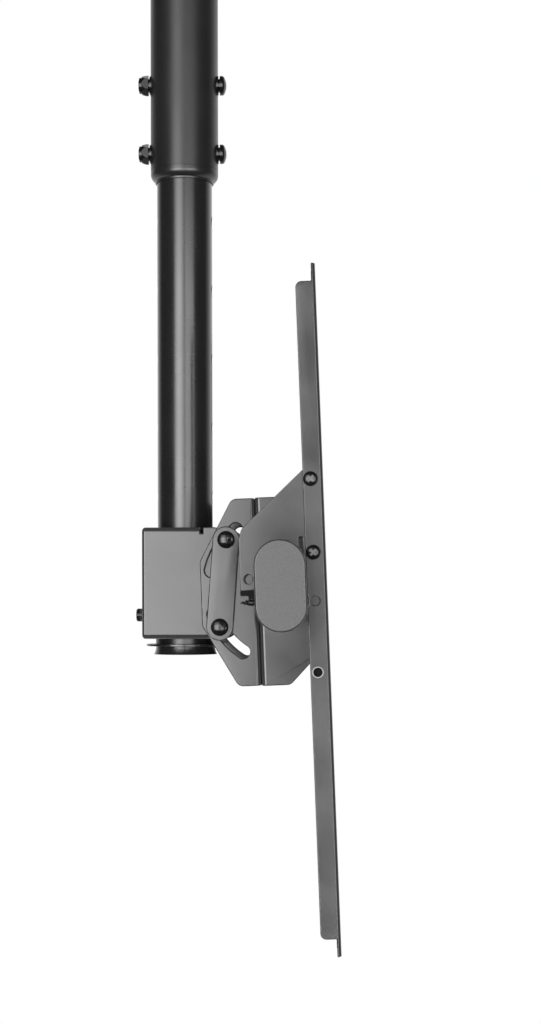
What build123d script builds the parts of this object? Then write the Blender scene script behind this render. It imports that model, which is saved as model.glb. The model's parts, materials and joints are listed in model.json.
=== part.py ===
from build123d import *
import os
from math import cos, radians, sin

os.makedirs("parts", exist_ok=True)

# A telescopic ceiling mount for a television. All lengths are in millimetres.
# The pole stands on Z = 0, the top face of the ceiling plate, and hangs down. The television is on +X.

# Fits
RUNNING = 0.3        # gap between faces that move past each other
SNUG = 0.05          # gap round a piece that stays where it is
AXIAL = 0.1          # play between flat faces that turn on each other

# Ceiling plate
PLATE_SIDE = 160.0
PLATE_THICK = 5.0
PLATE_CORNER = 12.0
ANCHOR_SPACING = 120.0
ANCHOR_HOLE = 11.0
SLEEVE_WALL = 4.5
SLEEVE_HEIGHT = 42.0
SET_SCREW = 8.0

# Telescopic tubes
UPPER_OD = 49.0
UPPER_WALL = 2.5
UPPER_LENGTH = 402.5
LOWER_OD = 40.0
LOWER_WALL = 2.0
HOLE_PITCH = 50.0
HOLE = 8.6
STEPS_UP = 5         # holes left below the bolts when the pole hangs as drawn
STEPS_DOWN = 1       # holes left above them
BOLT_ABOVE_END = 12.9
LOWER_TUBE_HEAD = 18.6
GUIDE_HEIGHT = 12.0
COLLAR_HEIGHT = 9.0
COLLAR_LIP = 1.4
COLLAR_NARROW = 3.2  # how far the collar draws in from the upper tube
COLLAR_STRAIGHT = 2.7
COLLAR_SPIGOT = 24.0

# Bolts through both tubes
MAST_BOLT = 8.0
MAST_HEAD = 14.0
MAST_HEAD_TALL = 4.7
MAST_NUT_AF = 13.0
MAST_NUT_TALL = 6.7
SADDLE_THICK = 1.5
SADDLE_OD = 13.6
SADDLE_FLANGE = 0.5  # how far the flange of the washer stands out of the tube
SADDLE_NECK = 9.8
THREAD_OUT = 0.5     # thread that stands out of a nut

# Swivel box
BOX_REAR = 28.4
BOX_FRONT = 13.0     # where the roof of the box ends
BOX_FLOOR_FRONT = 20.0
BOX_WIDTH = 71.0
BOX_HEIGHT = 79.4
BOX_SHEET = 3.0
BEND_INSIDE = 0.7
BOX_CLEAR = 1.6      # what is left between box and collar at the highest hole
EAR_SQUARE = 23.0    # how far the ears keep the height of the box
EAR_ROUND = 8.0
BOX_REAR_ROUND = 2.4
RELIEF_WIDE = 2.1
RELIEF_DEEP = 4.6
NECK = 4.0
BUSH_WALL = 1.2
THRUST_OD = 56.6
THRUST_THICK = 1.5
END_RING_TALL = 6.1
END_RING_TOP = 21.4  # radius of the end ring under the thrust washer
END_RING_LOW = 23.0  # and at its flared foot
END_RING_LIP = 1.8
LOCK_SCREW = 5.0
LOCK_HEAD = 9.0
LOCK_HEAD_TALL = 7.2
LOCK_SOCKET = 4.0
LOCK_UP = 16.8       # height of the lock screw above the foot of the box
LOCK_NUT_AF = 8.0
LOCK_NUT_TALL = 3.2

# Tilt: the axis is the middle of the rail, and the link bolts lie on a circle about it
TILT_X = 73.7
TILT_DROP = 43.4     # from the top of the box down to the tilt axis
TILT_RADIUS = 54.1
UPPER_LINK = 140.8   # degrees from +X towards +Z
LOWER_LINK = 210.7
LEAN = 2.1           # how far the head leans back as drawn
TILT_BACK = 10.0
TILT_DOWN = 25.0
SLOT_SPARE = 0.8     # degrees of slot beyond each end of the travel
SLOT_WIDE = 9.4
TILT_BUSH_SHORT = 0.2
LINK_WIDE = 19.0
LINK_THICK = 2.5
TILT_BOLT = 6.0
TILT_HEAD = 12.4
TILT_HEAD_TALL = 4.0
TILT_NUT_AF = 10.0
TILT_NUT_TALL = 6.0
WASHER_THICK = 1.6
TILT_WASHER_OD = 13.0

# The two brackets back to back, measured from the tilt axis with the head upright
HEAD_SHEET = 3.0
WEB_JOINT = 19.6     # where the two webs meet, behind the tilt axis
BRACKET_DROP = 1.9   # how far the middle of both brackets lies below the tilt axis
TILT_HALF = 66.5
TILT_SHOULDER = 35.8
TILT_NOSE = 60.0
TILT_NOSE_HALF = 23.0
RAIL_BRACKET_HALF = 66.8
RAIL_BRACKET_FOOT = 1.0
RAIL_BRACKET_FRONT = 20.0
RAIL_BRACKET_FRONT_HALF = 47.6
FLANGE_ROUND = 6.0
JOIN_BOLT = 8.0
JOIN_BOLT_Y = 14.0
JOIN_BOLT_Z = 45.0

# Rail
RAIL_WIDE = 28.4
RAIL_TALL = 53.2
RAIL_WALL = 2.0
RAIL_HALF = 226.0
CAP_PROUD = 1.5      # how far the cap stands out round the rail
CAP_THICK = 4.4
CAP_ROUND = 1.3
PLUG_LONG = 13.0
PLUG_WALL = 2.0
STOP_INSET = 6.0
STOP_DROP = 9.4
STOP_SHANK = 4.2
STOP_HEAD = 8.0
STOP_HEAD_TALL = 2.6
STOP_OUT = 10.8       # what stands out behind the rail
STOP_POINT = 6.0

# Arms and their hooks
ARM_REST = 150.0
ARM_WIDE = 30.0
ARM_DEEP = 13.0
ARM_SHEET = 2.0
ARM_LENGTH = 441.6
ARM_LOW = 15.8       # how far the middle of the arm lies below the rail
ARM_FRONT = 28.6     # front plane of the arm ahead of the rail's middle
ARM_FLANGE_SHORT = 11.4
ARM_FLANGE_ROUND = 4.0
VESA_HOLE = 8.6
VESA_HALVES = (100.0, 150.0, 200.0)
VESA_SLOT_WIDE = 6.6
VESA_SLOT_LONG = 28.0
HOOK_SHEET = 2.0
HOOK_TOP = 78.8
HOOK_TOP_REAR = 21.0
HOOK_SHOULDER = (-24.8, 37.6)
HOOK_REAR = -26.8
HOOK_REAR_TOP = 31.0
HOOK_FINGER = -3.5
HOOK_CHIN = -24.0
HOOK_FOOT = -62.0
HOOK_ROUND = 4.5
FINGER_ROUND = 1.0
FINGER_LIP = 7.0     # how far the foot of the finger is folded in
FOLD_ROUND = 2.6
MOUTH_RIM = 2.2
MOUTH_RIM_PROUD = 0.5
HOOK_HOLE = 6.0
HOOK_POCKET_WIDE = 2.5
HOOK_POCKET_TOP = 31.4
HOOK_POCKET_BACK = 1.6 # between the pocket and the edge of the arm's flange
HOOK_POCKET_ROUND = 0.8
HOOK_TAIL_INSET = 1.0  # how far the hook's tail lies inside the edge of the arm's flange
HOOK_HOLE_AT = (-21.2, 5.6)
SIDE_HOLES_BACK = 8.1
SCREW_HEIGHTS = (67.8, 21.1)
SPARE_HOLE_HEIGHT = -9.8
SPARE_HOLE = 6.0
RIVET_HEIGHT = -55.2
ARM_SCREW = 5.0
ARM_SCREW_HEAD = 9.5
ARM_SCREW_HEAD_TALL = 3.2
ARM_NUT_OD = 6.6     # press nuts, round so that they clear the fold of the hook
ARM_NUT_TALL = 3.4
RIVET_HEAD = 7.4
RIVET_SHANK = 6.8
RIVET_HOLLOW = 6.0
RIVET_PROUD = 0.6
RIVET_TAIL = 7.0
RIVET_TAIL_LONG = 2.4

# Shapes of the fasteners, as shares of a size
DOME_RIM = 0.28      # straight rim, of the head's height
DOME_BROW = 0.8      # where the dome turns down to the rim, of the head's radius
DOME_BROW_UP = 0.72  # and of its height
SOCKET_DEEP = 0.6    # of the head's height
SOCKET_WIDE = 0.62   # of the shank
CROSS_DEEP = 0.55    # of the head's height
CROSS_LONG = 0.56    # of the head
CROSS_WIDE = 0.17    # of the head
NUT_HEX = 0.72       # hexagon part, of the nut's height
NUT_CONE_FOOT = 0.62 # radius of the cone that takes the corners off, of the flats
NUT_COLLAR = 0.44    # radius of the locking ring, of the flats
EDGE_BREAK = 0.12    # of a cap screw's head height

# Heights that follow from the sizes above
SLEEVE_SCREW_Z = -PLATE_THICK - SLEEVE_HEIGHT / 2
TUBE_END = -PLATE_THICK - UPPER_LENGTH
LOW_BOLT_Z = TUBE_END + BOLT_ABOVE_END
HIGH_BOLT_Z = LOW_BOLT_Z + HOLE_PITCH
COLLAR_END = TUBE_END - COLLAR_HEIGHT
BOX_TOP = COLLAR_END - STEPS_UP * HOLE_PITCH - BOX_CLEAR
BOX_FOOT = BOX_TOP - BOX_HEIGHT
LOCK_Z = BOX_FOOT + LOCK_UP
THRUST_TOP = BOX_FOOT - NECK - AXIAL
THRUST_FOOT = THRUST_TOP - THRUST_THICK
LOWER_HOLES = [LOW_BOLT_Z + HOLE_PITCH * step for step in range(-STEPS_UP, STEPS_DOWN + 2)]
LOWER_TOP = LOWER_HOLES[-1] + LOWER_TUBE_HEAD
LOWER_FOOT = THRUST_FOOT - END_RING_TALL + END_RING_LIP
TILT_Z = BOX_TOP - TILT_DROP

# Radii and half widths that follow
UPPER_R = UPPER_OD / 2
UPPER_BORE = UPPER_R - UPPER_WALL
LOWER_R = LOWER_OD / 2
BUSH_IN = LOWER_R + RUNNING
BUSH_OUT = BUSH_IN + BUSH_WALL
BOX_HALF = BOX_WIDTH / 2
HEAD_IN = BOX_HALF + RUNNING
HEAD_OUT = HEAD_IN + HEAD_SHEET
LINK_IN = HEAD_OUT + RUNNING
LINK_OUT = LINK_IN + LINK_THICK
EAR_IN = BOX_HALF - BOX_SHEET
RAIL_GAP = RAIL_WIDE / 2 + RUNNING
ARM_IN = ARM_WIDE / 2 - ARM_SHEET
HOOK_OUT = ARM_IN - SNUG
HOOK_IN = HOOK_OUT - HOOK_SHEET
HOOK_FRONT = ARM_FRONT - ARM_SHEET - SNUG
FINGER_LONG = -RAIL_GAP - HOOK_REAR
ARM_BACK = ARM_FRONT - ARM_DEEP
SIDE_HOLES_X = ARM_FRONT - SIDE_HOLES_BACK

# Ways to stand a piece that is made upright
TO_FRONT = Rot(0, 90, 0)
TO_REAR = Rot(0, -90, 0)
STANDING = (Align.CENTER, Align.CENTER, Align.MIN)
LOW_CORNER = (Align.MIN, Align.MIN, Align.MIN)
SIDES = {"left": -1, "right": 1}


def to_side(side):
    """Turn a piece that points up so that it points out to one side."""
    return Rot(-90 * side, 0, 0)


def on_circle(radius, degrees):
    """A point on a circle about the tilt axis, as X and Z."""
    return radius * cos(radians(degrees)), radius * sin(radians(degrees))


def pipe(outer, inner, low, high):
    """An upright tube between two heights, by its two radii."""
    return Pos(0, 0, low) * extrude(Circle(outer) - Circle(inner), high - low)


def across_x(diameter, length, z, x=0.0):
    """A rod along X, centred on x."""
    return Pos(x, 0, z) * Cylinder(diameter / 2, length, rotation=(0, 90, 0))


def side_face(sketch, half):
    """A sketch drawn in X and Z, made as thick as twice half along Y."""
    return extrude(Plane.XZ * sketch, half, both=True)


def hexagon(across_flats):
    return RegularPolygon(across_flats / 2, 6, major_radius=False)


def standing(radius, tall, low=0.0):
    """A solid disc that stands on one height."""
    return Pos(0, 0, low) * extrude(Circle(radius), tall)


def domed_bolt(shank, length, head, head_tall):
    """A bolt with a smooth low dome and a round rim, pointing down from z = 0."""
    radius = head / 2
    rim = (radius, head_tall * DOME_RIM)
    brow = (radius * DOME_BROW, head_tall * DOME_BROW_UP)
    edge = Polyline((0, head_tall), (0, -length), (shank / 2, -length), (shank / 2, 0), (radius, 0), rim)
    dome = TangentArc((0, head_tall), brow, tangent=(1, 0))
    shoulder = TangentArc(rim, brow, tangent=(0, 1))
    return revolve(Plane.XZ * make_face([edge, dome, shoulder]), Axis.Z)


def socket_cut(across_flats, top, head_tall):
    """What a hexagon socket takes out of a head that ends at one height."""
    deep = head_tall * SOCKET_DEEP
    return Pos(0, 0, top - deep) * extrude(hexagon(across_flats), 2 * deep)


def socket_bolt(shank, length, head, head_tall):
    """A domed bolt with a hexagon socket."""
    bolt = domed_bolt(shank, length, head, head_tall)
    return bolt - socket_cut(shank * SOCKET_WIDE, head_tall, head_tall)


def cross_screw(shank, length, head, head_tall):
    """A domed screw with a cross recess."""
    blade = Box(head * CROSS_LONG, head * CROSS_WIDE, 2 * head_tall * CROSS_DEEP)
    screw = domed_bolt(shank, length, head, head_tall)
    return screw - Pos(0, 0, head_tall) * Rot(0, 0, 45) * (blade + Rot(0, 0, 90) * blade)


def lock_nut(across_flats, tall, bore):
    """A hexagon nut that stands on z = 0, with the round collar of its locking ring on top."""
    hex_tall = tall * NUT_HEX
    cone = Cone(across_flats * NUT_CONE_FOOT, across_flats / 2, hex_tall, align=STANDING)
    body = extrude(hexagon(across_flats), hex_tall) & cone
    body += standing(across_flats * NUT_COLLAR, tall - hex_tall, hex_tall)
    return body - Cylinder(bore / 2 + SNUG, tall * 3)


def channel(depth, width, sheet, height):
    """A folded channel: its web starts at x = 0, its flanges run to +X, and z = 0 halves it."""
    outer = Rectangle(depth, width, align=(Align.MIN, Align.CENTER))
    inner = Pos(sheet, 0) * Rectangle(depth, width - 2 * sheet, align=(Align.MIN, Align.CENTER))
    outer = fillet(outer.vertices().group_by(Axis.X)[0], BEND_INSIDE + sheet)
    inner = fillet(inner.vertices().group_by(Axis.X)[0], BEND_INSIDE)
    return extrude(outer - inner, height / 2, both=True)


def pattern_of(piece, places):
    """Copies of one piece as a group of separate solids."""
    return Compound(children=[place * piece for place in places])


def to_head(shape):
    """Move a piece drawn about the tilt axis to its place on the head, which leans back a little."""
    return Pos(TILT_X, 0, TILT_Z) * Rot(0, -LEAN, 0) * shape


def to_arm(shape, side):
    """Move a piece drawn about the middle of the rail to the arm on one side."""
    return to_head(Pos(0, side * ARM_REST, 0) * shape)


# Ceiling plate: a square steel plate with a short sleeve welded under it
def ceiling_plate():
    square = RectangleRounded(PLATE_SIDE, PLATE_SIDE, PLATE_CORNER)
    plate = Pos(0, 0, -PLATE_THICK) * extrude(square, PLATE_THICK)
    for place in GridLocations(ANCHOR_SPACING, ANCHOR_SPACING, 2, 2):
        plate -= place * Cylinder(ANCHOR_HOLE / 2, PLATE_THICK * 3)
    inner = UPPER_R + SNUG
    plate += pipe(inner + SLEEVE_WALL, inner, -PLATE_THICK - SLEEVE_HEIGHT, -PLATE_THICK)
    return plate - across_x(SET_SCREW + 2 * SNUG, PLATE_SIDE, SLEEVE_SCREW_Z)


def sleeve_screws():
    low = UPPER_R + SNUG
    screw = standing(SET_SCREW / 2, SLEEVE_WALL, low)
    screw -= socket_cut(SET_SCREW / 2, low + SLEEVE_WALL, SLEEVE_WALL)
    middle = Pos(0, 0, SLEEVE_SCREW_Z)
    return pattern_of(screw, [middle * TO_FRONT, middle * TO_REAR])


# Upper tube, with the guide collar pressed into its end
def upper_tube():
    tube = pipe(UPPER_R, UPPER_BORE, TUBE_END, -PLATE_THICK)
    for z in (LOW_BOLT_Z, HIGH_BOLT_Z):
        tube -= across_x(HOLE, UPPER_OD * 2, z)
    return tube


def tube_collar():
    inner = LOWER_R + RUNNING
    lip = UPPER_R - COLLAR_NARROW
    spigot = UPPER_BORE - SNUG
    top = TUBE_END + COLLAR_SPIGOT
    lip_top = COLLAR_END + COLLAR_LIP
    shoulder = (UPPER_R, TUBE_END - COLLAR_STRAIGHT)
    edge = Polyline((lip, lip_top), (lip, COLLAR_END), (inner, COLLAR_END), (inner, top),
                    (spigot, top), (spigot, TUBE_END), (UPPER_R, TUBE_END), shoulder)
    curve = TangentArc(shoulder, (lip, lip_top), tangent=(0, -1))
    ring = revolve(Plane.XZ * make_face([edge, curve]), Axis.Z)
    return ring - across_x(HOLE, UPPER_OD * 2, LOW_BOLT_Z)


# Two bolts through both tubes, each with two curved washers and a locking nut
def mast_bolts():
    seat = UPPER_R + SADDLE_THICK
    length = 2 * seat + MAST_NUT_TALL + THREAD_OUT
    bolt = Pos(0, 0, seat) * socket_bolt(MAST_BOLT, length, MAST_HEAD, MAST_HEAD_TALL)
    return pattern_of(bolt, [Pos(0, 0, z) * TO_FRONT for z in (LOW_BOLT_Z, HIGH_BOLT_Z)])


def mast_nuts():
    nut = Pos(0, 0, UPPER_R + SADDLE_THICK) * lock_nut(MAST_NUT_AF, MAST_NUT_TALL, MAST_BOLT)
    return pattern_of(nut, [Pos(0, 0, z) * TO_REAR for z in (LOW_BOLT_Z, HIGH_BOLT_Z)])


def saddle_washers():
    low = UPPER_BORE - UPPER_WALL
    flange = pipe(SADDLE_OD / 2, HOLE / 2, low, UPPER_R + SADDLE_FLANGE)
    neck = pipe(SADDLE_NECK / 2, HOLE / 2, low, UPPER_R + SADDLE_THICK)
    washer = flange + neck - Cylinder(UPPER_R + SNUG, SADDLE_OD * 2, rotation=(0, 90, 0))
    turns = [Pos(0, 0, z) * turn for z in (LOW_BOLT_Z, HIGH_BOLT_Z) for turn in (TO_FRONT, TO_REAR)]
    return pattern_of(washer, turns)


# Lower tube, with its guide ring above and the ring that carries the swivel box below
def lower_tube():
    tube = pipe(LOWER_R, LOWER_R - LOWER_WALL, LOWER_FOOT, LOWER_TOP)
    for z in LOWER_HOLES:
        tube -= across_x(HOLE, LOWER_OD * 2, z)
    return tube


def guide_ring():
    return pipe(UPPER_BORE - RUNNING, LOWER_R + SNUG, LOWER_TOP - GUIDE_HEIGHT, LOWER_TOP)


def thrust_washer():
    return pipe(THRUST_OD / 2, LOWER_R + SNUG, THRUST_FOOT, THRUST_TOP)


def end_ring():
    foot = THRUST_FOOT - END_RING_TALL
    bore = LOWER_R + SNUG
    lip = LOWER_R - LOWER_WALL
    edge = Polyline((END_RING_LOW, foot), (lip, foot), (lip, LOWER_FOOT), (bore, LOWER_FOOT),
                    (bore, THRUST_FOOT), (END_RING_TOP, THRUST_FOOT))
    flare = TangentArc((END_RING_TOP, THRUST_FOOT), (END_RING_LOW, foot), tangent=(0, -1))
    return revolve(Plane.XZ * make_face([edge, flare]), Axis.Z)


# Swivel box: sheet folded round the tube, open in front, whose sides go on as ears
def ear_outline():
    """One ear in X and Z: square ahead of roof and floor, then drawn round the two link bolts."""
    over_floor = ear_square(BOX_FLOOR_FRONT, BOX_FOOT)
    rounds = [Pos(x, z) * Circle(EAR_ROUND) for x, z in link_points()]
    edges = over_floor.edges() + rounds[0].edges() + rounds[1].edges()
    return make_hull(edges) + ear_square(BOX_FRONT, BOX_FOOT + BOX_HEIGHT / 2)


def ear_square(start, low):
    """The square part of an ear ahead of one x, from one height to the top of the box."""
    return Pos(start, low) * Rectangle(EAR_SQUARE - start, BOX_TOP - low, align=(Align.MIN, Align.MIN))


def link_points():
    """The upper and the lower link bolt in X and Z."""
    places = [on_circle(TILT_RADIUS, angle) for angle in (UPPER_LINK, LOWER_LINK)]
    return [(TILT_X + x, TILT_Z + z) for x, z in places]


def swivel_housing():
    middle = (BOX_TOP + BOX_FOOT) / 2
    outer = RectangleRounded(BOX_WIDTH, BOX_HEIGHT, BOX_SHEET + BEND_INSIDE)
    inner = RectangleRounded(BOX_WIDTH - 2 * BOX_SHEET, BOX_HEIGHT - 2 * BOX_SHEET, BEND_INSIDE)
    section = Plane(origin=(-BOX_REAR, 0, middle), x_dir=(0, 1, 0), z_dir=(1, 0, 0))
    box = extrude(section * outer, BOX_REAR + BOX_FLOOR_FRONT)
    box -= Pos(BOX_SHEET, 0, 0) * extrude(section * inner, BOX_REAR + BOX_FLOOR_FRONT)
    box = fillet(box.edges().group_by(Axis.X)[0], BOX_REAR_ROUND)
    beyond_roof = (BOX_FLOOR_FRONT - BOX_FRONT, BOX_WIDTH, BOX_HEIGHT / 2)
    box -= Pos(BOX_FRONT, 0, middle) * Box(*beyond_roof, align=(Align.MIN, Align.CENTER, Align.MIN))
    for side in SIDES.values():
        sheet = Pos(0, side * (BOX_HALF - BOX_SHEET / 2), 0) * side_face(ear_outline(), BOX_SHEET / 2)
        box += sheet
    relief = Box(RELIEF_WIDE, BOX_WIDTH * 2, RELIEF_DEEP)
    box -= Pos(BOX_FRONT + RELIEF_WIDE / 2, 0, BOX_TOP - RELIEF_DEEP / 2) * relief
    box -= Pos(0, 0, middle) * Cylinder(BUSH_OUT + SNUG, BOX_HEIGHT * 2)
    box -= across_x(LOCK_SCREW + 2 * SNUG, BOX_SHEET * 3, LOCK_Z, -BOX_REAR)
    for x, z in link_points():
        box -= Pos(x, 0, z) * Cylinder(TILT_BOLT / 2 + SNUG, BOX_WIDTH * 2, rotation=(90, 0, 0))
    return box


def swivel_bush():
    bush = pipe(BUSH_OUT, BUSH_IN, BOX_FOOT - NECK, BOX_TOP)
    return bush - across_x(LOCK_SCREW + 2 * SNUG, BOX_REAR, LOCK_Z, -BOX_REAR)


def lock_screw():
    """A hexagon socket screw through the rear of the box, whose tip is set against the tube."""
    tip = LOWER_R + RUNNING
    screw = standing(LOCK_HEAD / 2, LOCK_HEAD_TALL, BOX_REAR)
    screw = fillet(screw.edges().group_by(Axis.Z)[-1], LOCK_HEAD_TALL * EDGE_BREAK)
    screw += standing(LOCK_SCREW / 2, BOX_REAR - tip, tip)
    screw -= socket_cut(LOCK_SOCKET, BOX_REAR + LOCK_HEAD_TALL, LOCK_HEAD_TALL)
    return Pos(0, 0, LOCK_Z) * TO_REAR * screw


def lock_screw_nut():
    """The thin nut welded inside the rear of the box."""
    nut = extrude(hexagon(LOCK_NUT_AF) - Circle(LOCK_SCREW / 2 + SNUG), LOCK_NUT_TALL)
    return Pos(0, 0, LOCK_Z) * TO_REAR * Pos(0, 0, BOX_REAR - BOX_SHEET - LOCK_NUT_TALL) * nut


# Link plates and the four bolts that carry the head
def link_plate(side):
    rounds = [Pos(x, z) * Circle(LINK_WIDE / 2) for x, z in link_points()]
    outline = make_hull(rounds[0].edges() + rounds[1].edges())
    for x, z in link_points():
        outline -= Pos(x, z) * Circle(TILT_BOLT / 2 + SNUG)
    return Pos(0, side * (LINK_IN + LINK_THICK / 2), 0) * side_face(outline, LINK_THICK / 2)


def link_places():
    """The four link bolts, each with its piece's top pointing out to its side."""
    return [Pos(x, 0, z) * to_side(side) for side in SIDES.values() for x, z in link_points()]


def tilt_bolts():
    length = LINK_OUT - EAR_IN + WASHER_THICK + TILT_NUT_TALL + THREAD_OUT
    bolt = Pos(0, 0, LINK_OUT) * domed_bolt(TILT_BOLT, length, TILT_HEAD, TILT_HEAD_TALL)
    return pattern_of(bolt, link_places())


def tilt_bushes():
    """Sliding bushes: each runs in a slot of the tilt bracket, a little shorter than the sheet is thick."""
    outer = SLOT_WIDE / 2 - RUNNING
    low = HEAD_IN + TILT_BUSH_SHORT / 2
    bush = pipe(outer, TILT_BOLT / 2 + SNUG, low, HEAD_OUT - TILT_BUSH_SHORT / 2)
    return pattern_of(bush, link_places())


def tilt_washers():
    washer = pipe(TILT_WASHER_OD / 2, TILT_BOLT / 2 + SNUG, EAR_IN - WASHER_THICK, EAR_IN)
    return pattern_of(washer, link_places())


def tilt_nuts():
    nut = Rot(180, 0, 0) * lock_nut(TILT_NUT_AF, TILT_NUT_TALL, TILT_BOLT)
    nut = Pos(0, 0, EAR_IN - WASHER_THICK) * nut
    return pattern_of(nut, link_places())


# Tilt bracket: a channel that opens to the pole, with two curved slots in each flange
def tilt_bracket():
    depth = TILT_NOSE - WEB_JOINT
    outline = Polygon((-WEB_JOINT, TILT_HALF), (-TILT_SHOULDER, TILT_HALF), (-TILT_NOSE, TILT_NOSE_HALF),
                      (-TILT_NOSE, -TILT_NOSE_HALF), (-TILT_SHOULDER, -TILT_HALF), (-WEB_JOINT, -TILT_HALF),
                      align=None)
    corners = outline.vertices().group_by(Axis.X)
    outline = fillet(corners[0] + corners[1], FLANGE_ROUND)
    folded = channel(depth, 2 * HEAD_OUT, HEAD_SHEET, 2 * TILT_HALF)
    folded = Pos(-WEB_JOINT, 0, 0) * Rot(0, 0, 180) * folded
    bracket = Pos(0, 0, -BRACKET_DROP) * (folded & side_face(outline, BOX_WIDTH))
    for angle in (UPPER_LINK, LOWER_LINK):
        bracket -= side_face(slot_sketch(angle), BOX_WIDTH)
    return to_head(bracket - join_holes())


def slot_sketch(angle):
    """A slot on the bolt circle, long enough for the whole travel past its bolt."""
    start = angle - LEAN - TILT_BACK - SLOT_SPARE
    sweep = TILT_BACK + TILT_DOWN + 2 * SLOT_SPARE
    return SlotArc(CenterArc((0, 0), TILT_RADIUS, start, sweep), SLOT_WIDE)


def join_points():
    heights = (-JOIN_BOLT_Z - BRACKET_DROP, JOIN_BOLT_Z - BRACKET_DROP)
    return [(y, z) for y in (-JOIN_BOLT_Y, JOIN_BOLT_Y) for z in heights]


def join_holes():
    rod = Cylinder(JOIN_BOLT / 2 + SNUG, HEAD_SHEET * 6, rotation=(0, 90, 0))
    return [Pos(-WEB_JOINT, y, z) * rod for y, z in join_points()]


# Rail bracket: a channel that opens to the television and holds the rail in two oval holes
def rail_outline(grow=0.0):
    """The flat oval of the rail in X and Z."""
    return SlotOverall(RAIL_TALL + 2 * grow, RAIL_WIDE + 2 * grow, rotation=90)


def rail_bracket():
    depth = WEB_JOINT + RAIL_BRACKET_FRONT
    outline = Polygon((-WEB_JOINT, RAIL_BRACKET_HALF), (RAIL_BRACKET_FOOT, RAIL_BRACKET_HALF),
                      (RAIL_BRACKET_FRONT, RAIL_BRACKET_FRONT_HALF),
                      (RAIL_BRACKET_FRONT, -RAIL_BRACKET_FRONT_HALF),
                      (RAIL_BRACKET_FOOT, -RAIL_BRACKET_HALF), (-WEB_JOINT, -RAIL_BRACKET_HALF),
                      align=None)
    corners = outline.vertices().group_by(Axis.X)
    outline = fillet(corners[1] + corners[2], FLANGE_ROUND)
    folded = Pos(-WEB_JOINT, 0, 0) * channel(depth, 2 * HEAD_OUT, HEAD_SHEET, 2 * RAIL_BRACKET_HALF)
    bracket = Pos(0, 0, -BRACKET_DROP) * (folded & side_face(outline, BOX_WIDTH))
    bracket -= side_face(rail_outline(SNUG), BOX_WIDTH)
    return to_head(bracket - join_holes())


def bracket_bolts():
    """The four bolts that join the brackets, with their heads to the pole."""
    length = 2 * HEAD_SHEET + MAST_NUT_TALL + THREAD_OUT
    bolt = Pos(0, 0, HEAD_SHEET) * socket_bolt(JOIN_BOLT, length, MAST_HEAD, MAST_HEAD_TALL)
    return to_head(pattern_of(bolt, [Pos(-WEB_JOINT, y, z) * TO_REAR for y, z in join_points()]))


def bracket_nuts():
    nut = Pos(0, 0, HEAD_SHEET) * lock_nut(MAST_NUT_AF, MAST_NUT_TALL, JOIN_BOLT)
    return to_head(pattern_of(nut, [Pos(-WEB_JOINT, y, z) * TO_FRONT for y, z in join_points()]))


# Rail, with a cap in each end and a pointed screw that keeps the arms on it
def stop_screw_shape(grow=0.0):
    """The stop screw on the middle of the rail: pan head in front, point behind."""
    front = RAIL_WIDE / 2
    shank = STOP_SHANK / 2 + grow
    tip = -front - STOP_OUT
    point = Polyline((0, front), (shank, front), (shank, tip + STOP_POINT), (0, tip), close=True)
    screw = revolve(Plane.XZ * make_face(point), Axis.Z)
    head = standing(STOP_HEAD / 2, STOP_HEAD_TALL, front)
    screw += fillet(head.edges().group_by(Axis.Z)[-1], STOP_HEAD_TALL / 2)
    return Pos(0, 0, -STOP_DROP) * TO_FRONT * screw


def stop_place(side):
    return Pos(0, side * (RAIL_HALF - STOP_INSET), 0)


def stop_screws():
    return to_head(pattern_of(stop_screw_shape(), [stop_place(side) for side in SIDES.values()]))


def rail():
    tube = side_face(rail_outline() - rail_outline(-RAIL_WALL), RAIL_HALF)
    for side in SIDES.values():
        tube -= stop_place(side) * stop_screw_shape(SNUG)
    return to_head(tube)


def end_cap(side):
    """A moulded cap whose hollow plug fills the end of the rail and takes the stop screw."""
    outer = rail_outline(-RAIL_WALL - SNUG)
    plug = outer - rail_outline(-RAIL_WALL - SNUG - PLUG_WALL)
    cap = extrude(rail_outline(CAP_PROUD), CAP_THICK)
    cap = fillet(cap.edges().group_by(Axis.Z)[-1], CAP_ROUND)
    cap += Pos(0, 0, -PLUG_LONG) * extrude(plug, PLUG_LONG)
    cap = Pos(0, side * RAIL_HALF, 0) * to_side(side) * cap
    return to_head(cap - stop_place(side) * stop_screw_shape(SNUG))


# Arms: shallow channels with the holes for a television, each hung on the rail by a hook bracket
def arm(side):
    bar = channel(ARM_DEEP, ARM_WIDE, ARM_SHEET, ARM_LENGTH) & side_face(arm_outline(), ARM_WIDE)
    bar = Pos(ARM_FRONT, 0, -ARM_LOW) * Rot(0, 0, 180) * bar
    for half in VESA_HALVES:
        for way in (-1, 1):
            bar -= across_x(VESA_HOLE, 2 * ARM_DEEP, half * way - ARM_LOW, ARM_FRONT)
    slot = Plane.YZ * SlotOverall(VESA_SLOT_LONG, VESA_SLOT_WIDE, rotation=90)
    for z in vesa_slots():
        bar -= Pos(ARM_FRONT, 0, z - ARM_LOW) * extrude(slot, ARM_DEEP, both=True)
    return to_arm(bar - side_holes(joint_holes() + [(SPARE_HOLE_HEIGHT, SPARE_HOLE)]), side)


def arm_outline():
    """The arm from the side, depth along X: its flanges are shorter than its front, with round corners."""
    fold = ARM_SHEET + BEND_INSIDE
    flange_tall = ARM_LENGTH - 2 * ARM_FLANGE_SHORT
    flange = Pos(fold, 0) * RectangleRounded(2 * (ARM_DEEP - fold), flange_tall, ARM_FLANGE_ROUND)
    front = Pos(-ARM_DEEP, 0) * Rectangle(ARM_DEEP + fold, ARM_LENGTH, align=(Align.MIN, Align.CENTER))
    return flange + front


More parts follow.
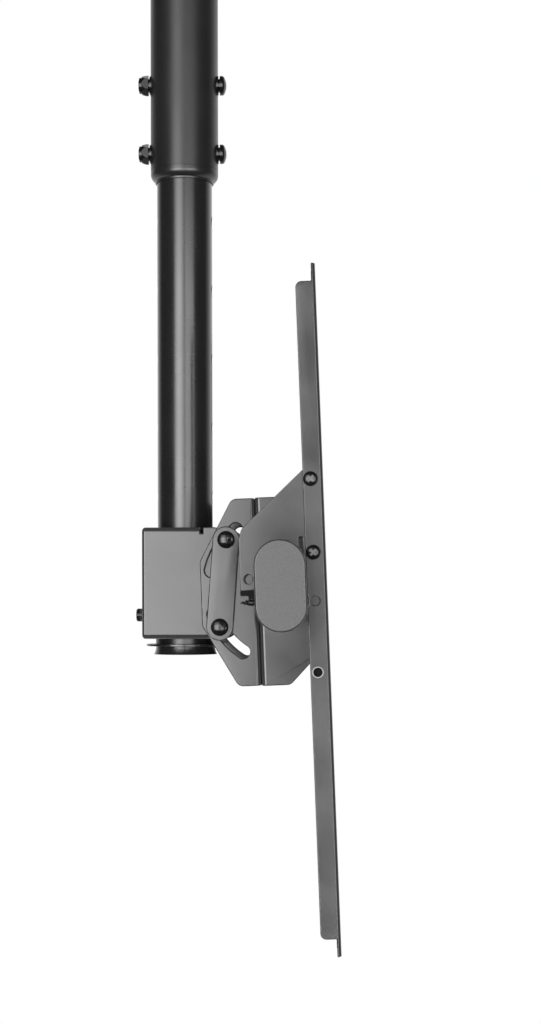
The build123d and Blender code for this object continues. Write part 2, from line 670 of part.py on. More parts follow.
def vesa_slots():
    """Slots halfway between the round holes, and one between the hook and the nearest pair."""
    near, middle, far = VESA_HALVES
    halves = (near / 2, (near + middle) / 2, (middle + far) / 2)
    return [half * way for half in halves for way in (-1, 1)]


def side_holes(sizes):
    """Rods along Y, by height and diameter, that cut holes through both flanges of an arm or a hook."""
    rods = []
    for z, size in sizes:
        rod = Cylinder(size / 2 + SNUG, ARM_WIDE * 2, rotation=(90, 0, 0))
        rods.append(Pos(SIDE_HOLES_X, 0, z) * rod)
    return rods


def joint_holes():
    """The holes that an arm and its hook have in common: two for screws and one for a rivet."""
    return [(z, ARM_SCREW) for z in SCREW_HEIGHTS] + [(RIVET_HEIGHT, RIVET_SHANK)]


def hook_outline():
    """One cheek of the hook in X and Z, open below round the rail."""
    tail = ARM_BACK + HOOK_TAIL_INSET
    cheek = Polygon((HOOK_FRONT, HOOK_TOP), (HOOK_TOP_REAR, HOOK_TOP), HOOK_SHOULDER,
                    (HOOK_REAR, HOOK_REAR_TOP), (HOOK_REAR, HOOK_FINGER), (0, HOOK_FINGER), (0, HOOK_CHIN),
                    (tail, HOOK_CHIN), (tail, HOOK_FOOT), (HOOK_FRONT, HOOK_FOOT), align=None)
    low_left = cheek.vertices().group_by(Axis.X)[0].sort_by(Axis.Y)
    cheek = fillet(low_left[0], FINGER_ROUND)
    shoulder = cheek.vertices().sort_by_distance((HOOK_SHOULDER[0], HOOK_SHOULDER[1], 0))[0]
    cheek = fillet(shoulder, HOOK_ROUND)
    mouth_low = Pos(0, -RAIL_TALL) * Rectangle(2 * RAIL_GAP, 2 * RAIL_TALL)
    return cheek - rail_outline(RUNNING) - mouth_low - hook_pocket()


def hook_pocket():
    """The relief beside the arm's flange above the mouth."""
    tall = HOOK_POCKET_TOP - RAIL_TALL / 4
    pocket = RectangleRounded(HOOK_POCKET_WIDE, tall, HOOK_POCKET_ROUND)
    return Pos(ARM_BACK - HOOK_POCKET_BACK - HOOK_POCKET_WIDE / 2, HOOK_POCKET_TOP - tall / 2) * pocket


def mouth_rim():
    """The raised rim round the top of the mouth on one cheek, as far as the arm's flange."""
    reach = ARM_BACK - HOOK_POCKET_BACK
    above = Pos(reach, 0) * Rectangle(RAIL_TALL, RAIL_TALL, align=(Align.MAX, Align.MIN))
    rim = (rail_outline(RUNNING + MOUTH_RIM) - rail_outline(RUNNING)) & above
    return Pos(0, -HOOK_OUT, 0) * extrude(Plane.XZ * (rim - hook_pocket()), MOUTH_RIM_PROUD)


def finger_lip():
    """The foot of the finger on one cheek, folded in under itself."""
    lip = Box(FINGER_LONG, FINGER_LIP, HOOK_SHEET, align=LOW_CORNER)
    return Pos(HOOK_REAR, -HOOK_OUT, HOOK_FINGER) * lip


def finger_fold():
    """What the round of that fold takes off the finger's lower edge."""
    corner = Box(FINGER_LONG, FOLD_ROUND, FOLD_ROUND, align=LOW_CORNER)
    rod = Cylinder(FOLD_ROUND, 3 * FINGER_LONG, rotation=(0, 90, 0))
    return Pos(HOOK_REAR, -HOOK_OUT, HOOK_FINGER) * (corner - Pos(0, FOLD_ROUND, FOLD_ROUND) * rod)


def hook(side):
    height = HOOK_TOP - HOOK_FOOT
    folded = channel(HOOK_FRONT - HOOK_REAR, 2 * HOOK_OUT, HOOK_SHEET, height)
    folded = Pos(HOOK_FRONT, 0, HOOK_FOOT + height / 2) * Rot(0, 0, 180) * folded
    bracket = folded & side_face(hook_outline(), ARM_WIDE)
    added = mouth_rim() + finger_lip()
    bracket += added + mirror(added, about=Plane.XZ)
    bracket -= finger_fold() + mirror(finger_fold(), about=Plane.XZ)
    x, z = HOOK_HOLE_AT
    bracket -= Pos(x, 0, z) * Cylinder(HOOK_HOLE / 2, ARM_WIDE * 2, rotation=(90, 0, 0))
    return to_arm(bracket - side_holes(joint_holes()), side)


def screw_places():
    """The arm's screws, each with its head out to its own flange."""
    return [Pos(SIDE_HOLES_X, 0, z) * to_side(way) for way in SIDES.values() for z in SCREW_HEIGHTS]


def arm_screws(side):
    length = ARM_WIDE / 2 - HOOK_IN + ARM_NUT_TALL + THREAD_OUT
    screw = Pos(0, 0, ARM_WIDE / 2) * cross_screw(ARM_SCREW, length, ARM_SCREW_HEAD, ARM_SCREW_HEAD_TALL)
    return to_arm(pattern_of(screw, screw_places()), side)


def arm_nuts(side):
    nut = pipe(ARM_NUT_OD / 2, ARM_SCREW / 2 + SNUG, HOOK_IN - ARM_NUT_TALL, HOOK_IN)
    return to_arm(pattern_of(nut, screw_places()), side)


def arm_rivets(side):
    """Blind rivets through flange and cheek, each with the hollow its mandrel leaves."""
    outside = ARM_WIDE / 2
    rivet = pipe(RIVET_HEAD / 2, RIVET_HOLLOW / 2, outside, outside + RIVET_PROUD)
    rivet += pipe(RIVET_SHANK / 2, RIVET_HOLLOW / 2, HOOK_IN, outside)
    rivet += standing(RIVET_TAIL / 2, RIVET_TAIL_LONG, HOOK_IN - RIVET_TAIL_LONG)
    places = [Pos(SIDE_HOLES_X, 0, RIVET_HEIGHT) * to_side(way) for way in SIDES.values()]
    return to_arm(pattern_of(rivet, places), side)


def write(name, shape):
    """Write one sub-part to its own file."""
    export_step(shape, f"parts/{name}.step")


# Fixed mast
write("ceiling_plate", ceiling_plate())
write("sleeve_screws", sleeve_screws())
write("upper_tube", upper_tube())
write("tube_collar", tube_collar())
write("mast_bolts", mast_bolts())
write("mast_nuts", mast_nuts())
write("saddle_washers", saddle_washers())

# Sliding pole
write("lower_tube", lower_tube())
write("guide_ring", guide_ring())
write("thrust_washer", thrust_washer())
write("end_ring", end_ring())

# Swivel box
write("swivel_housing", swivel_housing())
write("swivel_bush", swivel_bush())
write("lock_screw", lock_screw())
write("lock_screw_nut", lock_screw_nut())
write("tilt_bolts", tilt_bolts())
write("tilt_bushes", tilt_bushes())
write("tilt_washers", tilt_washers())
write("tilt_nuts", tilt_nuts())

# Tilting head
write("tilt_bracket", tilt_bracket())
write("rail_bracket", rail_bracket())
write("bracket_bolts", bracket_bolts())
write("bracket_nuts", bracket_nuts())
write("rail", rail())
write("stop_screws", stop_screws())

# What comes once on each side
for word, way in SIDES.items():
    write(f"link_plate_{word}", link_plate(way))
    write(f"end_cap_{word}", end_cap(way))
    write(f"arm_{word}", arm(way))
    write(f"hook_{word}", hook(way))
    write(f"arm_screws_{word}", arm_screws(way))
    write(f"arm_nuts_{word}", arm_nuts(way))
    write(f"arm_rivets_{word}", arm_rivets(way))
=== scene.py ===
import json
import math

import bmesh
import bpy
from mathutils import Matrix, Vector


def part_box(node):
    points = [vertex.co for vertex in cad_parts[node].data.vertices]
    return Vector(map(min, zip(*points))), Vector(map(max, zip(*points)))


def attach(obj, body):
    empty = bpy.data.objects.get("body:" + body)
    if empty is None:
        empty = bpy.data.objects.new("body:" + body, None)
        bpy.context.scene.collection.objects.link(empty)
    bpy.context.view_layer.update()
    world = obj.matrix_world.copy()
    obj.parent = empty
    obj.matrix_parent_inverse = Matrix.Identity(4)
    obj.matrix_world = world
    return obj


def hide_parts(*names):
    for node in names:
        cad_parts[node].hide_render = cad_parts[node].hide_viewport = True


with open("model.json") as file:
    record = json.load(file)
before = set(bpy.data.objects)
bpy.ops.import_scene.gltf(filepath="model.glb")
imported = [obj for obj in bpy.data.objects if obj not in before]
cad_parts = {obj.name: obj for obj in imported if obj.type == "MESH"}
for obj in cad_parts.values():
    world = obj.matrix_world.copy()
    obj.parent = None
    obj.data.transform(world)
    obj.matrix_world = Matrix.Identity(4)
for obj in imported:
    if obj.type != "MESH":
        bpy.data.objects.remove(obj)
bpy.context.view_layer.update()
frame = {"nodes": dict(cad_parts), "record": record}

# Ceiling plate: a square of thick sheet steel with round corners and a short sleeve welded under it.
# It is powder coated satin black. Four screws hold it to the ceiling, and two flush set screws in
# the sleeve hold the upper tube.


def noise(tree, scale, detail=2.0):
    """Noise on the piece's own coordinates, scale in lumps per metre."""
    place = tree.nodes.new("ShaderNodeTexCoord")
    lumps = tree.nodes.new("ShaderNodeTexNoise")
    lumps.inputs["Scale"].default_value = scale
    lumps.inputs["Detail"].default_value = detail
    tree.links.new(place.outputs["Object"], lumps.inputs["Vector"])
    return lumps.outputs["Fac"]


NOISE_LOW, NOISE_HIGH = 0.3, 0.7


def between(tree, factor, low, high):
    """A factor spread between two numbers, from the range in which noise lies."""
    spread = tree.nodes.new("ShaderNodeMapRange")
    spread.interpolation_type = "SMOOTHSTEP"
    spread.inputs["From Min"].default_value = NOISE_LOW
    spread.inputs["From Max"].default_value = NOISE_HIGH
    spread.inputs["To Min"].default_value = low
    spread.inputs["To Max"].default_value = high
    tree.links.new(factor, spread.inputs["Value"])
    return spread.outputs["Result"]


def blend(tree, factor, first, second):
    """Two colours, each a tuple or a socket, mixed by a factor."""
    mix = tree.nodes.new("ShaderNodeMix")
    mix.data_type = "RGBA"
    tree.links.new(factor, mix.inputs["Factor"])
    for socket, color in (("A", first), ("B", second)):
        if isinstance(color, tuple):
            mix.inputs[socket].default_value = (*color, 1)
        else:
            tree.links.new(color, mix.inputs[socket])
    return mix.outputs["Result"]


def relief(tree, height, distance, below=None):
    """A normal bumped by a height of so many metres, over another bump where one is given."""
    bump = tree.nodes.new("ShaderNodeBump")
    bump.inputs["Distance"].default_value = distance
    tree.links.new(height, bump.inputs["Height"])
    if below:
        tree.links.new(below, bump.inputs["Normal"])
    return bump.outputs["Normal"]


COAT_DARK, COAT_LIGHT = 0.86, 1.14
COAT_UNEVEN = 0.035
CLEAR_SMOOTHER = 0.6
WEAR_AND_SHEEN_LIFT = 0.06
WEAR_AND_SHEEN_FROM, WEAR_AND_SHEEN_TO = -1.4, 0.7
GRAIN_LUMPS, TONE_LUMPS, PEEL_LUMPS, PATCH_LUMPS, CLOUD_LUMPS = 5200, 3600, 720, 260, 24


def powder_coat(name, color, roughness, specular, clear, peel, grain):
    """Powder coat: orange peel of peel metres and grain of grain metres, lighter in patches along the edges
    as wear and as a painted highlight.
    """
    paint = bpy.data.materials.new(name)
    paint.use_nodes = True
    tree = paint.node_tree
    shader = tree.nodes["Principled BSDF"]
    shader.inputs["Specular IOR Level"].default_value = specular
    shader.inputs["Coat Weight"].default_value = clear
    shader.inputs["Coat Roughness"].default_value = roughness * CLEAR_SMOOTHER
    dark = tuple(c * COAT_DARK for c in color)
    light = tuple(c * COAT_LIGHT for c in color)
    tone = blend(tree, between(tree, noise(tree, TONE_LUMPS, 3), 0, 1), dark, light)
    # Wear and painted highlight: the rounded edges are lifted to a lighter colour in patches.
    edge = tree.nodes.new("ShaderNodeAttribute")
    edge.attribute_name = "edge"
    patches = between(tree, noise(tree, PATCH_LUMPS, 4), WEAR_AND_SHEEN_FROM, WEAR_AND_SHEEN_TO)
    wear_and_sheen_mask = tree.nodes.new("ShaderNodeMath")
    wear_and_sheen_mask.operation = "MULTIPLY"
    wear_and_sheen_mask.use_clamp = True
    tree.links.new(edge.outputs["Fac"], wear_and_sheen_mask.inputs[0])
    tree.links.new(patches, wear_and_sheen_mask.inputs[1])
    wear_and_sheen_color = tuple(c + WEAR_AND_SHEEN_LIFT for c in color)
    tree.links.new(blend(tree, wear_and_sheen_mask.outputs[0], tone, wear_and_sheen_color), shader.inputs["Base Color"])
    clouds = noise(tree, CLOUD_LUMPS, 3)
    gloss = between(tree, clouds, roughness - COAT_UNEVEN, roughness + COAT_UNEVEN)
    tree.links.new(gloss, shader.inputs["Roughness"])
    skin = relief(tree, noise(tree, PEEL_LUMPS, 1), peel)
    tree.links.new(relief(tree, noise(tree, GRAIN_LUMPS, 2), grain, skin), shader.inputs["Normal"])
    return paint


tube_coat = powder_coat("tube_coat", (0.011, 0.011, 0.0115), roughness=0.36, specular=0.8, clear=0.0,
                        peel=0.000008, grain=0.000003)

WELD_GAP = 1e-6
FLAT_WITHIN = math.radians(0.5)
SHARP_FROM = math.radians(38)
EDGE_ROUND = 0.0009
FACE_SLOT, EDGE_SLOT = 0, 1


def eased(node, finish, width=EDGE_ROUND):
    """A copy of a CAD node in one skin with its sharp edges rounded. It stands for that node.

    The rounding goes in by its own material slot, which then becomes the edge attribute that the
    coat's edge lightening reads, which is wear and a painted highlight. A corner that the rounding
    throws past the node's own box is put back on it, before the shading is worked out.
    """
    form = bmesh.new()
    form.from_mesh(frame["nodes"][node].data)
    bmesh.ops.remove_doubles(form, verts=form.verts, dist=WELD_GAP)
    bmesh.ops.dissolve_limit(form, angle_limit=FLAT_WITHIN, verts=form.verts, edges=form.edges)
    mesh = bpy.data.meshes.new(node + "_skin")
    form.to_mesh(mesh)
    form.free()
    mesh.polygons.foreach_set("use_smooth", [True] * len(mesh.polygons))
    mesh.materials.append(finish)
    mesh.materials.append(finish)
    piece = bpy.data.objects.new(node + "_skin", mesh)
    bpy.context.scene.collection.objects.link(piece)
    rounding = piece.modifiers.new("rounding", "BEVEL")
    rounding.width = width
    rounding.segments = 2
    rounding.limit_method = "ANGLE"
    rounding.angle_limit = SHARP_FROM
    rounding.use_clamp_overlap = False
    rounding.material = EDGE_SLOT
    become_plain(piece)
    low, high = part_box(node)
    for corner in piece.data.vertices:
        corner.co = [min(max(at, least), most) for at, least, most in zip(corner.co, low, high)]
    shading = piece.modifiers.new("shading", "WEIGHTED_NORMAL")
    shading.weight = 100
    become_plain(piece)
    on_edge = [float(face.material_index == EDGE_SLOT) for face in piece.data.polygons]
    edge = piece.data.attributes.new("edge", "FLOAT", "FACE")
    edge.data.foreach_set("value", on_edge)
    piece.data.polygons.foreach_set("material_index", [FACE_SLOT] * len(on_edge))
    piece.data.materials.pop()
    settle(piece, body_holding(node))
    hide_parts(node)


def become_plain(piece):
    """Turn a piece and its modifiers into a plain mesh."""
    graph = bpy.context.evaluated_depsgraph_get()
    plain = bpy.data.meshes.new_from_object(piece.evaluated_get(graph), depsgraph=graph)
    piece.modifiers.clear()
    piece.data = plain


def body_holding(node):
    """The body that a CAD node belongs to."""
    bodies = frame["record"]["behaviour"]["bodies"]
    return next(body for body, held in bodies.items() if node in held)


def settle(piece, body):
    """Put a piece on its body."""
    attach(piece, body)


def finish_nodes(finish, *nodes):
    """Give CAD nodes that stay as they are their finish."""
    for node in nodes:
        mesh = frame["nodes"][node].data
        mesh.materials.clear()
        mesh.materials.append(finish)


def sized_tree(name, start, sizes):
    """A Geometry Nodes tree that takes what it starts from, a finish, and sizes by their names."""
    tree = bpy.data.node_groups.new(name, "GeometryNodeTree")
    tree.interface.new_socket(start, in_out="INPUT", socket_type="NodeSocketGeometry")
    tree.interface.new_socket("Finish", in_out="INPUT", socket_type="NodeSocketMaterial")
    for word, value in sizes.items():
        kind = "NodeSocketInt" if isinstance(value, int) else "NodeSocketFloat"
        tree.interface.new_socket(word, in_out="INPUT", socket_type=kind).default_value = value
    tree.interface.new_socket("Geometry", in_out="OUTPUT", socket_type="NodeSocketGeometry")
    return tree, tree.nodes.new("NodeGroupInput").outputs


def step(tree, kind, inputs, **settings):
    """One node of a tree, with its inputs given as values or as sockets of nodes before it."""
    node = tree.nodes.new(kind)
    for setting, value in settings.items():
        setattr(node, setting, value)
    for socket, value in inputs.items():
        if isinstance(value, bpy.types.NodeSocket):
            tree.links.new(value, node.inputs[socket])
        else:
            node.inputs[socket].default_value = value
    return next((out for out in node.outputs if out.enabled), None)


def end_tree(tree, given, shape):
    """End a tree: real geometry, smooth, in the finish it was given."""
    real = step(tree, "GeometryNodeRealizeInstances", {0: shape})
    smooth = step(tree, "GeometryNodeSetShadeSmooth", {0: real})
    painted = step(tree, "GeometryNodeSetMaterial", {0: smooth, "Material": given["Finish"]})
    step(tree, "NodeGroupOutput", {0: painted})


def grow(name, places, tree, finish, sizes, closed=False):
    """Run a tree on points or on a closed path, with its sizes, and keep what it makes as a plain mesh."""
    edges = [(n, (n + 1) % len(places)) for n in range(len(places))] if closed else []
    start = bpy.data.meshes.new(name)
    start.from_pydata(places, edges, [])
    piece = bpy.data.objects.new(name, start)
    bpy.context.scene.collection.objects.link(piece)
    growth = piece.modifiers.new("growth", "NODES")
    growth.node_group = tree
    for socket in tree.interface.items_tree:
        if socket.name in sizes:
            growth[socket.identifier] = sizes[socket.name]
        if socket.name == "Finish":
            growth[socket.identifier] = finish
    become_plain(piece)
    return piece


def weld_tree():
    """A weld bead: a row of flattened drops that overlap along a closed path."""
    sizes = {"Bead": 0.002, "Pitch": 0.001, "Flatness": 0.6, "Unevenness": 0.1, "Seed": 3}
    tree, given = sized_tree("weld_bead", "Path", sizes)
    line = step(tree, "GeometryNodeMeshToCurve", {0: given["Path"]})
    line = step(tree, "GeometryNodeResampleCurve", {0: line, "Length": given["Pitch"]}, mode="LENGTH")
    drop = step(tree, "GeometryNodeMeshUVSphere", {"Segments": 12, "Rings": 8, "Radius": given["Bead"]})
    along = step(tree, "GeometryNodeInputTangent", {})
    turn = step(tree, "FunctionNodeAlignRotationToVector", {"Vector": along}, axis="X")
    less = step(tree, "ShaderNodeMath", {0: 1.0, 1: given["Unevenness"]}, operation="SUBTRACT")
    size = step(tree, "FunctionNodeRandomValue", {2: less, 3: 1.0, "Seed": given["Seed"]})
    length = step(tree, "ShaderNodeMath", {0: size, 1: given["Flatness"]}, operation="MULTIPLY")
    scale = step(tree, "ShaderNodeCombineXYZ", {0: length, 1: size, 2: size})
    drops = step(tree, "GeometryNodeInstanceOnPoints",
                 {"Points": line, "Instance": drop, "Rotation": turn, "Scale": scale})
    end_tree(tree, given, drops)
    return tree


eased("ceiling_plate", tube_coat)
SLEEVE_RADIUS = 0.02905
SLEEVE_TOP = -0.005
ROUND_STEPS = 96
weld_bead = weld_tree()
circle = [(SLEEVE_RADIUS * math.cos(turn), SLEEVE_RADIUS * math.sin(turn), SLEEVE_TOP)
          for turn in (math.tau * n / ROUND_STEPS for n in range(ROUND_STEPS))]
sleeve_weld = grow("sleeve_weld", circle, weld_bead, tube_coat, {"Bead": 0.0022, "Pitch": 0.0011},
                   closed=True)
settle(sleeve_weld, body_holding("ceiling_plate"))
black_zinc = powder_coat("black_zinc", (0.006, 0.006, 0.0062), roughness=0.15, specular=0.7, clear=0.0,
                         peel=0.000002, grain=0.000001)
finish_nodes(black_zinc, "sleeve_screws")

# Upper tube: a length of black powder coated steel tube, cross-drilled for two bolts.
# A moulded nylon collar is pressed into its open end and guides the tube that slides inside.
PLASTIC_DARK, PLASTIC_LIGHT = 0.95, 1.05
PLASTIC_UNEVEN = 0.012
SPARK_LUMPS, GLOSS_LUMPS, SHADE_LUMPS = 3400, 1300, 900


def moulded(name, color, roughness, grain, specular=0.95):
    """Moulded plastic with a fine spark-eroded grain."""
    plastic = bpy.data.materials.new(name)
    plastic.use_nodes = True
    tree = plastic.node_tree
    shader = tree.nodes["Principled BSDF"]
    shader.inputs["Specular IOR Level"].default_value = specular
    dark = tuple(c * PLASTIC_DARK for c in color)
    light = tuple(c * PLASTIC_LIGHT for c in color)
    tree.links.new(blend(tree, noise(tree, SHADE_LUMPS, 2), dark, light), shader.inputs["Base Color"])
    patches = noise(tree, GLOSS_LUMPS, 2)
    gloss = between(tree, patches, roughness - PLASTIC_UNEVEN, roughness + PLASTIC_UNEVEN)
    tree.links.new(gloss, shader.inputs["Roughness"])
    tree.links.new(relief(tree, noise(tree, SPARK_LUMPS, 2), grain), shader.inputs["Normal"])
    return plastic


SMALL_ROUND = 0.0002
black_nylon = moulded("black_nylon", (0.012, 0.012, 0.0125), roughness=0.3, grain=0.000006)
finish_nodes(tube_coat, "upper_tube")
eased("tube_collar", black_nylon, SMALL_ROUND)

# Mast bolts: two black button-head bolts with hexagon sockets cross both tubes at right angles to the arms.
# Each pulls a curved saddle washer against either side of the tube, and a locking nut holds it.
finish_nodes(black_zinc, "mast_bolts", "mast_nuts", "saddle_washers")

# Lower tube: the thinner tube slides in the upper one and is drilled every 50 mm for the same bolts.
# A nylon ring on its head keeps it straight. A turned thrust washer and end ring at its foot, welded
# on, carry the swivel box.
turned = powder_coat("turned_steel", (0.012, 0.012, 0.0125), roughness=0.22, specular=0.8, clear=0.3,
                     peel=0.000004, grain=0.000002)
smooth_coat = powder_coat("smooth_coat", (0.011, 0.011, 0.0115), roughness=0.27, specular=0.8, clear=0.5,
                          peel=0.000006, grain=0.000002)


def cut_rings(paint, pitch, depth):
    """Fine rings round the pole, as a lathe leaves them, under the paint's own grain."""
    tree = paint.node_tree
    place = step(tree, "ShaderNodeTexCoord", {})
    level = step(tree, "ShaderNodeVectorMath", {0: tree.nodes[-1].outputs["Object"], 1: (1, 1, 0)},
                 operation="MULTIPLY")
    step(tree, "ShaderNodeVectorMath", {0: level}, operation="LENGTH")
    radius = tree.nodes[-1].outputs["Value"]
    turns = step(tree, "ShaderNodeMath", {0: radius, 1: math.tau / pitch}, operation="MULTIPLY")
    rings = step(tree, "ShaderNodeMath", {0: turns}, operation="SINE")
    normal = tree.nodes["Principled BSDF"].inputs["Normal"]
    tree.links.new(relief(tree, rings, depth, normal.links[0].from_socket), normal)


cut_rings(turned, pitch=0.0006, depth=0.000006)
finish_nodes(smooth_coat, "lower_tube")
finish_nodes(black_nylon, "guide_ring")
eased("thrust_washer", turned, SMALL_ROUND)
eased("end_ring", turned, SMALL_ROUND)

# Swivel box: sheet steel folded round the tube, whose sides run on as two ears for the head.
# It turns on a nylon bush. A socket screw through its back, in a welded nut, locks it to the tube.
bracket_coat = powder_coat("bracket_coat", (0.034, 0.034, 0.0344), roughness=0.16, specular=0.95,
                           clear=0.0, peel=0.000004, grain=0.000003)
eased("swivel_housing", bracket_coat)
eased("lock_screw", black_zinc, SMALL_ROUND)
finish_nodes(black_nylon, "swivel_bush")
finish_nodes(black_zinc, "lock_screw_nut")


def knurl_tree():
    """The knurl of a screw's head: ridges in a ring round X."""
    sizes = {"Ridges": 36, "Radius": 0.0045, "Ridge": 0.00022, "Length": 0.005}
    tree, given = sized_tree("knurl", "Places", sizes)
    ring = step(tree, "GeometryNodeMeshCircle", {"Vertices": given["Ridges"], "Radius": given["Radius"]})
    ridge = step(tree, "GeometryNodeMeshCylinder",
                 {"Vertices": 6, "Radius": given["Ridge"], "Depth": given["Length"]})
    ridges = step(tree, "GeometryNodeInstanceOnPoints", {"Points": ring, "Instance": ridge})
    along_x = (0, math.pi / 2, 0)
    turned_over = step(tree, "GeometryNodeInstanceOnPoints",
                       {"Points": given["Places"], "Instance": ridges, "Rotation": along_x})
    end_tree(tree, given, turned_over)
    return tree


KNURL_BACK = 0.0034
head_low, head_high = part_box("lock_screw")
middle = (head_low.x + KNURL_BACK, 0, (head_low.z + head_high.z) / 2)
settle(grow("lock_screw_knurl", [middle], knurl_tree(), black_zinc, {}), "swivel")

# Tilt links: a plate on each side joins the two tilt bolts, which run in the slots of the tilt bracket.
# The bolts have smooth black domes. Washers and locking nuts inside the ears set the friction.
for side in ("left", "right"):
    eased("link_plate_" + side, bracket_coat)
finish_nodes(black_zinc, "tilt_bolts", "tilt_nuts", "tilt_washers")
finish_nodes(black_nylon, "tilt_bushes")

# Head brackets: two folded steel channels stand back to back and are bolted together at four corners.
# The rear one has the curved tilt slots, and the front one holds the rail in two oval holes.
eased("tilt_bracket", bracket_coat)
eased("rail_bracket", bracket_coat)
finish_nodes(black_zinc, "bracket_bolts", "bracket_nuts")

# Rail: a flat oval steel tube welded into the rail bracket, closed by a moulded cap at each end.
# A pointed screw across each end holds the cap and keeps the arms from sliding off.
cap_plastic = moulded("cap_plastic", (0.03, 0.03, 0.0303), roughness=0.28, grain=0.000003, specular=0.85)
RAIL_EDGE, CAP_EDGE, STOP_EDGE = 0.0003, 0.0008, 0.0001
eased("rail", bracket_coat, RAIL_EDGE)
for side in ("left", "right"):
    eased("end_cap_" + side, cap_plastic, CAP_EDGE)
eased("stop_screws", black_zinc, STOP_EDGE)

TILT_AXIS = (0.0737, 0, -0.7115)
LEAN = math.radians(2.1)
RAIL_ROUND, RAIL_STRAIGHT = 0.0142, 0.0124
HALF_ROUND_STEPS = 24
BRACKET_SIDE = 0.0388
STOP_AT = (-0.0142, 0.22, -0.0094)


def to_head(piece):
    """Move a mesh drawn about the tilt axis to its place on the head."""
    piece.data.transform(Matrix.Translation(TILT_AXIS) @ Matrix.Rotation(-LEAN, 4, "Y"))
    return piece


def oval_path(y):
    """Points round the flat oval of the rail."""
    angles = [math.pi * n / HALF_ROUND_STEPS for n in range(HALF_ROUND_STEPS + 1)]
    upper = [(math.cos(a) * RAIL_ROUND, y, RAIL_STRAIGHT + math.sin(a) * RAIL_ROUND) for a in angles]
    return upper + [(-x, y, -z) for x, y, z in upper]


TIP_RADIUS, TIP_THIN = 0.0002, 0.3


def thread_tree():
    """A coarse thread: a ridge wound round a shank and on round its point."""
    sizes = {"Radius": 0.0021, "Ridge": 0.00055, "Pitch": 0.0023, "Straight": 0.0046, "Point": 0.0056}
    tree, given = sized_tree("screw_thread", "Places", sizes)
    wound = []
    for length, end, thin in (("Straight", given["Radius"], 1.0), ("Point", TIP_RADIUS, TIP_THIN)):
        turns = step(tree, "ShaderNodeMath", {0: given[length], 1: given["Pitch"]}, operation="DIVIDE")
        spiral = step(tree, "GeometryNodeCurveSpiral",
                      {"Resolution": 20, "Rotations": turns, "Start Radius": given["Radius"],
                       "End Radius": end, "Height": given[length]})
        along = step(tree, "GeometryNodeSplineParameter", {})
        thick = step(tree, "ShaderNodeMapRange", {"Value": along, "To Min": 1.0, "To Max": thin})
        spiral = step(tree, "GeometryNodeSetCurveRadius", {0: spiral, "Radius": thick})
        spiral = step(tree, "GeometryNodeSetCurveNormal", {0: spiral}, mode="Z_UP")
        edge = step(tree, "GeometryNodeCurvePrimitiveCircle", {"Resolution": 4, "Radius": given["Ridge"]})
        wound.append(step(tree, "GeometryNodeCurveToMesh", {0: spiral, 1: edge, "Fill Caps": True}))
    up = step(tree, "ShaderNodeCombineXYZ", {2: given["Straight"]})
    point = step(tree, "GeometryNodeTransform", {0: wound[1], "Translation": up})
    thread = step(tree, "GeometryNodeJoinGeometry", {0: wound[0]})
    tree.links.new(point, tree.nodes[-1].inputs[0])
    to_rear = (0, -math.pi / 2, 0)
    threads = step(tree, "GeometryNodeInstanceOnPoints",
                   {"Points": given["Places"], "Instance": thread, "Rotation": to_rear})
    end_tree(tree, given, threads)
    return tree


for side, way in (("left", -1), ("right", 1)):
    ring = grow("rail_weld_" + side, oval_path(way * BRACKET_SIDE), weld_bead, bracket_coat,
                {"Bead": 0.0018, "Pitch": 0.0009, "Seed": 5 + way}, closed=True)
    settle(to_head(ring), "head")
stops = [(STOP_AT[0], way * STOP_AT[1], STOP_AT[2]) for way in (-1, 1)]
settle(to_head(grow("stop_threads", stops, thread_tree(), black_zinc, {})), "head")

# Arms: shallow folded channels with holes and slots for the television's screws.
# A folded hook inside each one hangs on the rail, held by four cross-recess screws in press nuts and
# two hollow rivets.
ARM_EDGE = 0.0006
for side in ("left", "right"):
    eased("arm_" + side, bracket_coat, ARM_EDGE)
    eased("hook_" + side, bracket_coat, ARM_EDGE)

# Arm screws: black zinc screws with cross recesses, which draw arm and hook together in press nuts.
# The faces of each recess are painted with a bright metal as a highlight.
METAL_DARK = 0.85
METAL_UNEVEN = 0.06
METAL_LUMPS, SCRATCH_LUMPS = 900, 500


def bright_metal(name, color, roughness):
    """Bare plated metal with fine scratches."""
    metal = bpy.data.materials.new(name)
    metal.use_nodes = True
    tree = metal.node_tree
    shader = tree.nodes["Principled BSDF"]
    shader.inputs["Metallic"].default_value = 1
    dark = tuple(c * METAL_DARK for c in color)
    tree.links.new(blend(tree, noise(tree, METAL_LUMPS, 4), dark, color), shader.inputs["Base Color"])
    scratches = noise(tree, SCRATCH_LUMPS, 4)
    gloss = between(tree, scratches, roughness - METAL_UNEVEN, roughness + METAL_UNEVEN)
    tree.links.new(gloss, shader.inputs["Roughness"])
    return metal


# Painted highlight: a bright metal for the faces of the black zinc screws' cross recesses.
painted_highlight = bright_metal("painted_highlight_steel", (0.13, 0.13, 0.134), roughness=0.35)
CROSS_REACH = 0.0028
CROSS_UNDER = 0.0005
CROSS_FLOOR = 0.002
RIM_DEPTH = CROSS_FLOOR * 1.6


def painted_highlight_crosses(side):
    """Give the faces of each screw's recess, as far as they are seen from outside, a bright metal that is a
    painted highlight.
    """
    mesh = frame["nodes"]["arm_screws_" + side].data
    mesh.materials.append(painted_highlight)
    box_low, box_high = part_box("arm_screws_" + side)
    tops = (box_low.y, box_high.y)
    axes = screw_axes(mesh, tops)
    for face in mesh.polygons:
        depth = min(abs(face.center.y - top) for top in tops)
        reach = min(math.hypot(face.center.x - x, face.center.z - z) for x, z in axes)
        # Painted highlight: faces inside the recess take the bright metal.
        face.material_index = int(CROSS_UNDER < depth < CROSS_FLOOR and reach < CROSS_REACH)


